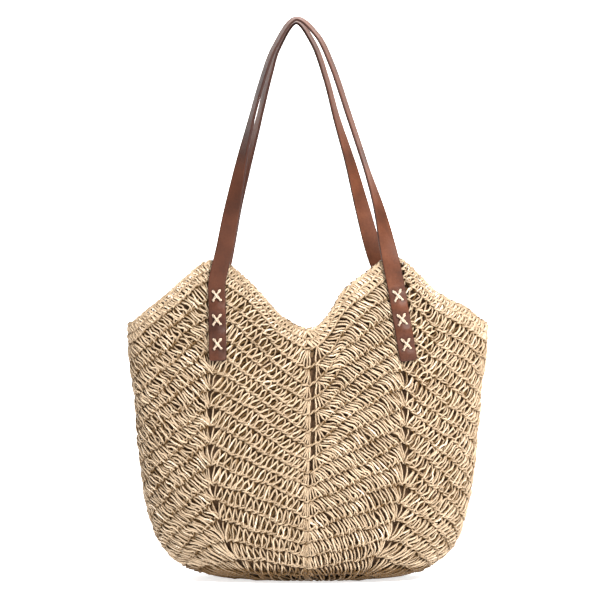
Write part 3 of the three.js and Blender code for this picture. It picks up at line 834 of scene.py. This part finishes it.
def sewCrosses(word, line):
    strap = handles[word]
    half = threads["half"]
    for leftSide in (True, False):
        for z, level in zip(handles["stitchHeights"], ("low", "middle", "top")):
            d = distanceAt(line, z, leftSide)
            point, along, across, faceward, _ = strapFrames(strap, line, [d])
            point, along, across = point[0], along[0], across[0]
            away = -strap["side"] * faceward[0]
            if along[2] < 0:
                along = -along
            rightward = across if across[0] * -strap["side"] > 0 else -across
            bundle = newBundle()
            for sign, lift in ((1, threads["lift"]), (-1, threads["crossing"])):
                ends = [(-sign * half[0], -half[1]), (sign * half[0], half[1])]
                wander = luck.uniform(-0.35, 0.35, (2, 2))
                ends = [np.array(e) + w for e, w in zip(ends, wander)]
                shares = np.array([0, 0.0, 0.1, 0.5, 0.9, 1.0, 1.0])
                heights = np.array([-1.6, 0.1, threads["lift"], lift, threads["lift"], 0.1, -1.6])
                knots = (point + np.outer(ends[0][0] + (ends[1][0] - ends[0][0]) * shares, rightward)
                         + np.outer(ends[0][1] + (ends[1][1] - ends[0][1]) * shares, along)
                         + np.outer(heights + handles["thickness"] / 2 - 0.25, away))
                core = smoothPath(knots[None], threads["steps"])[0]
                tangent = unit(np.gradient(core, axis=0))
                sideways = unit(np.cross(away, tangent))
                upward = np.cross(tangent, sideways)
                turn = np.linspace(0, threads["turns"] * 2 * math.pi, threads["steps"])
                for phase in (0, math.pi):
                    ply = core + threads["ply"] * (np.cos(turn + phase)[:, None] * sideways * 1.15
                                                   + np.sin(turn + phase)[:, None] * upward)
                    addTubes(bundle, ply[None], np.broadcast_to(away, ply.shape)[None], threads["radius"],
                             [0.75 + 0.1 * luck.normal()], sides=8)
            name = f"stitch_{word}_{'left' if leftSide else 'right'}_{level}"
            piece = makePiece(f"thread{name[6:]}", bundle, threadCord, "bag")
            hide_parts(name)


for word in ("front", "back"):
    sewCrosses(word, makeHandle(word))
print("tote: handles sewn on")

# the lining: one cloth bag, hung inside from just under the rim
lining = {
    "depth": (5.55, 6.2),
    "belowRim": 1.5,
    "columns": 240,
    "rows": 60,
    "crowding": 1.35,
    "fold": 0.35,
    "colours": [(0.3, (0.055, 0.028, 0.012)), (0.55, (0.092, 0.050, 0.024)),
                (0.8, (0.13, 0.076, 0.041))],
}


def clothMaterial(name, stops, threadsPerMetre, relief):
    material, nodes, links, shader = newMaterial(name)
    place = nodes.new("ShaderNodeTexCoord")
    split = nodes.new("ShaderNodeSeparateXYZ")
    links.new(place.outputs["Object"], split.inputs[0])
    turn = threadsPerMetre * 2 * math.pi
    sideways = mathNode(nodes, links, "ADD", split.outputs[0], split.outputs[1])
    warp = mathNode(nodes, links, "SINE", mathNode(nodes, links, "MULTIPLY", sideways, turn))
    weft = mathNode(nodes, links, "SINE", mathNode(nodes, links, "MULTIPLY", split.outputs[2], turn))
    weave = mathNode(nodes, links, "MULTIPLY", warp, weft)
    shade = mathNode(nodes, links, "MULTIPLY_ADD", weave, 0.08, noiseNode(nodes, links, 60, 6))
    tones = ramp(nodes, stops)
    links.new(shade, tones.inputs["Fac"])
    links.new(tones.outputs["Color"], shader.inputs["Base Color"])
    shader.inputs["Roughness"].default_value = 0.88
    shader.inputs["Specular IOR Level"].default_value = 0.2
    shader.inputs["Sheen Weight"].default_value = 0.12
    bumpNode(nodes, links, shader, weave, 0.4, relief)
    return material


liningCloth = clothMaterial("lining_cloth", lining["colours"], 900, 0.0002)


def liningGrid(depth):
    turn = np.arange(lining["columns"]) / lining["columns"] * 2 * math.pi
    turn = turn + 0.13 * np.sin(2 * turn)
    c, s = ovalAt(turn)
    up = np.linspace(0, 1, lining["rows"]) ** lining["crowding"]
    drop = np.where(s > 0, wall["backRimDrop"], 0)
    top = through(wall["rim"], wall["rimHalfWidth"] * c) - drop - lining["belowRim"]
    z = up[:, None] * top[None]
    rise = up[:, None]
    fold = lining["fold"] * (1 + np.sin(5 * turn + 6 * rise) * np.sin(3 * turn + 9 * rise + 1))
    fold = fold * np.clip(rise * 6, 0, 1)
    walls = wallShares(c, s, z, depth + fold)
    foot = [walls[0] * (share, share, 1) for share in (0.02, 0.25, 0.5, 0.75)]
    return np.concatenate([np.array(foot), walls])


def makeLining():
    outer, inner = (liningGrid(d) for d in lining["depth"])
    bundle = newBundle()
    addSleeve(bundle, np.concatenate([outer, inner[::-1]]))
    piece = makePiece("bag_lining", bundle, liningCloth, "bag")
    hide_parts("lining")
    area = sum(p.area for p in piece.data.polygons) / 2
    print("tote: lining cloth", round(area, 4), "square metres")
    return piece


bagLining = makeLining()


def slab(near, far):
    # a thin closed piece between two layers of points, each (rows, columns, 3)
    rows, columns = near.shape[:2]
    i = np.arange(rows * columns).reshape(rows, columns)
    j = i + rows * columns

    def strip(a, b, c, d):
        return np.stack([a, b, c, d], -1).reshape(-1, 4)

    quads = [strip(i[:-1, :-1], i[:-1, 1:], i[1:, 1:], i[1:, :-1]),
             strip(j[:-1, :-1], j[1:, :-1], j[1:, 1:], j[:-1, 1:]),
             strip(i[0, :-1], j[0, :-1], j[0, 1:], i[0, 1:]),
             strip(i[-1, :-1], i[-1, 1:], j[-1, 1:], j[-1, :-1]),
             strip(i[:-1, 0], i[1:, 0], j[1:, 0], j[:-1, 0]),
             strip(i[:-1, -1], j[:-1, -1], j[1:, -1], i[1:, -1])]
    quads = np.concatenate(quads)
    points = np.concatenate([near.reshape(-1, 3), far.reshape(-1, 3)])
    uv = np.stack([points[:, 0] * 0.1, points[:, 2] * 0.1], -1)[quads.ravel()]
    return {"points": [points], "loops": [quads.ravel()], "sizes": [np.full(len(quads), 4)],
            "uv": [uv], "tint": [np.full(len(points), 0.5)], "count": len(points)}


def editAll(piece):
    # edit mode, with the whole of one piece selected
    bpy.ops.object.select_all(action="DESELECT")
    bpy.context.view_layer.objects.active = piece
    piece.select_set(True)
    bpy.ops.object.mode_set(mode="EDIT")
    bpy.ops.mesh.select_all(action="SELECT")


def faceOut(piece):
    editAll(piece)
    bpy.ops.mesh.normals_make_consistent(inside=False)
    bpy.ops.object.mode_set(mode="OBJECT")
    bpy.ops.object.shade_smooth_by_angle(angle=math.radians(40))
    piece.select_set(False)


def wallCloth(name, side, xs, zs, depths, material, steps):
    x = np.linspace(*xs, steps[0])[None]
    z = np.linspace(*zs, steps[1])[:, None]
    x, z = np.broadcast_arrays(x, z)
    across = (x - xs[0]) / (xs[1] - xs[0])
    up = (z - zs[0]) / (zs[1] - zs[0])
    slack = 0.12 * np.sin(9 * across + 3 * up) * np.sin(math.pi * across) * np.sin(math.pi * up)
    layers = [wallAt(x, z, depth + slack, side) for depth in depths]
    piece = makePiece(name, slab(*layers), material, "bag")
    faceOut(piece)
    return piece


# rows of small stitches along lines (x, z) on the inside of a wall
seams = {"every": 3.2, "long": 2.2, "radius": 0.2}


def patchLines(edge, low, high):
    # down both sides of a patch and along its foot
    return [((-edge, low), (edge, low)), ((-edge, low), (-edge, high)), ((edge, low), (edge, high))]


def wallSeam(name, side, lines, depth, material):
    bundle = newBundle()
    for (x0, z0), (x1, z1) in lines:
        length = math.hypot(x1 - x0, z1 - z0)
        count = max(int(length / seams["every"]), 2)
        middles = (np.arange(count) + 0.5) / count
        local = np.linspace(-0.5, 0.5, 5) * seams["long"] / length
        share = middles[:, None] + local[None]
        x = x0 + (x1 - x0) * share
        z = z0 + (z1 - z0) * share
        rise = np.array([0.25, -0.08, -0.15, -0.08, 0.25])
        centres = wallAt(x, z, depth - rise + 0 * x, side)
        outward = wallAt(x, z, depth + 1 + 0 * x, side) - centres
        addTubes(bundle, centres, outward, seams["radius"], np.full(count, 0.6), sides=5)
    return makePiece(name, bundle, material, "bag")


seamThread = yarnMaterial("seam_thread", (0.10, 0.055, 0.03), (0.20, 0.12, 0.07), (0.3, 0.19, 0.12),
                          6.0, 0.6, 0.0001)

# the slip pocket on the front of the lining, hemmed along its mouth
slip = {"half": 72.0, "bottom": 112.0, "top": 205.0, "hem": 12.0}
slipPocket = wallCloth("slip_pocket", -1, (-slip["half"], slip["half"]), (slip["bottom"], slip["top"]),
                       (7.35, 8.0), liningCloth, (49, 33))
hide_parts("slip_pocket_panel")
slipHem = wallCloth("slip_pocket_hem", -1, (-slip["half"] + 0.2, slip["half"] - 0.2),
                    (slip["top"] - slip["hem"], slip["top"] - 0.2), (8.2, 8.65), liningCloth,
                    (49, 5))
edge = slip["half"] - 2.5
low = slip["bottom"] + 2.5
slipSeam = wallSeam("slip_pocket_seam", -1, patchLines(edge, low, slip["top"] - 14), 8.05, seamThread)
hemSeam = wallSeam("slip_pocket_hem_seam", -1,
                   [((-edge, slip["top"] - 10.5), (edge, slip["top"] - 10.5))], 8.7, seamThread)

# the zipped pocket on the back: a panel, two tapes and a coil of teeth
zipSetup = {"height": 210.0, "half": 75.0, "tapeHalf": 78.75, "tapeIn": 1.5, "tapeOut": 11.7,
            "panelHalf": 85.0, "panelTop": 198.0, "panelHeight": 105.0, "pitch": 1.5}
zipTapeCloth = clothMaterial("zip_tape", [(0.3, (0.030, 0.017, 0.011)), (0.55, (0.052, 0.031, 0.021)),
                                          (0.8, (0.08, 0.05, 0.036))], 1400, 0.0002)
half, top = zipSetup["panelHalf"], zipSetup["panelTop"]
zipPocket = wallCloth("zip_pocket", 1, (-half, half), (top - zipSetup["panelHeight"], top),
                      (7.35, 8.0), liningCloth, (57, 37))
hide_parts("zip_pocket_panel")
edge, low = half - 2.5, top - zipSetup["panelHeight"] + 2.5
zipSeam = wallSeam("zip_pocket_seam", 1,
                   [*patchLines(edge, low, top - 2.5), ((-edge, top - 2.5), (edge, top - 2.5))],
                   8.05, seamThread)
for word, way in (("upper", 1), ("lower", -1)):
    zs = sorted(zipSetup["height"] + way * d for d in (zipSetup["tapeIn"], zipSetup["tapeOut"]))
    tape = wallCloth(f"zip_{word}_tape", 1, (-zipSetup["tapeHalf"], zipSetup["tapeHalf"]), zs,
                     (7.35, 7.75), zipTapeCloth, (53, 5))
    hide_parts(f"zip_tape_{word}")
    line = zipSetup["height"] + way * 7.5
    tapeSeam = wallSeam(f"zip_{word}_tape_seam", 1, [((-77, line), (77, line))], 7.8, seamThread)


def brassMaterial(name, dark, light, roughness):
    material, nodes, links, shader = newMaterial(name)
    cloud = noiseNode(nodes, links, 220, 6)
    tones = ramp(nodes, [(0.32, dark), (0.62, light)])
    links.new(cloud, tones.inputs["Fac"])
    links.new(tones.outputs["Color"], shader.inputs["Base Color"])
    shader.inputs["Metallic"].default_value = 1
    gloss = mathNode(nodes, links, "MULTIPLY_ADD", cloud, 0.2, roughness - 0.1)
    links.new(gloss, shader.inputs["Roughness"])
    return material


antiqueBrass = brassMaterial("antique_brass", (0.28, 0.18, 0.075), (0.62, 0.44, 0.21), 0.32)
dullBrass = brassMaterial("dull_brass", (0.09, 0.055, 0.028), (0.15, 0.095, 0.05), 0.6)


def makeCoil():
    # two coils of wire, half a turn apart, whose loops reach past each other
    bundle = newBundle()
    turns = 2 * zipSetup["half"] / zipSetup["pitch"]
    t = np.linspace(0, turns * 2 * math.pi, int(turns * 12) + 1)
    for way, phase in ((1, 0), (-1, math.pi)):
        x = -zipSetup["half"] + zipSetup["pitch"] * (t + phase / 2) / (2 * math.pi)
        x = np.clip(x, 0.6 - zipSetup["half"], zipSetup["half"] - 0.6)
        z = zipSetup["height"] + way * (0.85 - 1.05 * np.cos(t))
        depth = 8.25 + 0.38 * np.sin(t)
        centres = wallAt(x, z, depth, 1)[None]
        outward = wallAt(x, z, depth + 1, 1)[None] - centres
        addTubes(bundle, centres, outward, 0.27, [0.6], sides=6)
    piece = makePiece("zip_teeth", bundle, antiqueBrass, "bag")
    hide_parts("zip_chain")


makeCoil()

# brass pieces: the solid shapes with their edges rounded
brassPieces = {
    "zip_slider": ("slider_body", "zip_slider", 0.35),
    "zip_pull": ("slider_pull", "zip_pull", 0.3),
    "zip_stop_left": ("left_stop", "bag", 0.3),
    "zip_stop_right": ("right_stop", "bag", 0.3),
    "snap_socket": ("snap_cup", "bag", 0.25),
    "snap_stud": ("snap_post", "bag", 0.25),
}


def roundedCopy(node, name, body, width):
    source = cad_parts[node]
    piece = bpy.data.objects.new(name, source.data.copy())
    bpy.context.scene.collection.objects.link(piece)
    editAll(piece)
    bpy.ops.mesh.remove_doubles(threshold=0.00001)
    bpy.ops.mesh.dissolve_limited(angle_limit=math.radians(3))
    bpy.ops.object.mode_set(mode="OBJECT")
    bevel = piece.modifiers.new("edges", "BEVEL")
    bevel.width = width * mm
    bevel.segments = 3
    bevel.limit_method = "ANGLE"
    bevel.angle_limit = math.radians(30)
    bpy.ops.object.modifier_apply(modifier="edges")
    bpy.ops.object.shade_smooth_by_angle(angle=math.radians(35))
    piece.select_set(False)
    piece.data.materials.clear()
    piece.data.materials.append(antiqueBrass)
    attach(piece, body)
    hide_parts(node)


for node, (name, body, width) in brassPieces.items():
    roundedCopy(node, name, body, width)
for word in ("front", "back"):
    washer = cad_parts[f"snap_washer_{word}"]
    washer.data.materials.clear()
    washer.data.materials.append(dullBrass)
print("tote: lining, pockets, zip and snap done")

# camera: level, just left of the middle, about four and a half bag widths away
cameraSetup = {"place": (-1.65, -1750.0, 298.1), "lens": 93.6, "sensor": 36.0}
camera = bpy.data.objects.new("camera", bpy.data.cameras.new("camera"))
camera.location = [v * mm for v in cameraSetup["place"]]
camera.rotation_euler = (math.pi / 2, 0, 0)
camera.data.lens = cameraSetup["lens"]
camera.data.sensor_width = cameraSetup["sensor"]
bpy.context.scene.collection.objects.link(camera)
bpy.context.scene.camera = camera


def softLight(name, place, target, size, power):
    data = bpy.data.lights.new(name, "AREA")
    data.shape = "RECTANGLE"
    data.size, data.size_y = size
    data.energy = power
    lamp = bpy.data.objects.new(name, data)
    lamp.location = place
    aim = np.array(target) - np.array(place)
    lamp.rotation_euler = mathutils.Vector(aim).to_track_quat("-Z", "Y").to_euler()
    bpy.context.scene.collection.objects.link(lamp)


softLight("key_light", (0.95, -1.35, 1.8), (0, 0, 0.25), (0.5, 0.5), 123)
softLight("back_light", (0, 1.6, 3.2), (0, 3.0, 0.8), (3.0, 1.0), 170)
softLight("fill_light", (-1.3, -1.3, 0.6), (0, 0, 0.25), (0.8, 1.2), 5)
world = bpy.data.worlds.new("studio")
world.use_nodes = True
world.node_tree.nodes["Background"].inputs["Color"].default_value = (1, 1, 1, 1)
world.node_tree.nodes["Background"].inputs["Strength"].default_value = 0.42
bpy.context.scene.view_settings.view_transform = "Standard"
bpy.context.scene.world = world

# floor with a curved back
floorShape = {"front": -3.0, "back": 2.2, "half": 4.0, "curve": 1.2, "height": 4.0}


def makeFloor():
    f = floorShape
    bend = [(f["back"] + f["curve"] * math.sin(a), f["curve"] * (1 - math.cos(a)))
            for a in np.linspace(0, math.pi / 2, 24)]
    line = [(f["front"], 0)] + bend + [(f["back"] + f["curve"], f["height"])]
    points = [(x, y, z) for y, z in line for x in (-f["half"], f["half"])]
    faces = [(2 * i, 2 * i + 1, 2 * i + 3, 2 * i + 2) for i in range(len(line) - 1)]
    mesh = bpy.data.meshes.new("floor")
    mesh.from_pydata(points, [], faces)
    mesh.polygons.foreach_set("use_smooth", [True] * len(faces))
    material, nodes, links, shader = newMaterial("pale_floor")
    shader.inputs["Base Color"].default_value = (0.9, 0.9, 0.9, 1)
    shader.inputs["Roughness"].default_value = 0.9
    shader.inputs["Emission Color"].default_value = (1, 1, 1, 1)
    shader.inputs["Emission Strength"].default_value = 0.7
    mesh.materials.append(material)
    floor = bpy.data.objects.new("floor", mesh)
    bpy.context.scene.collection.objects.link(floor)


makeFloor()
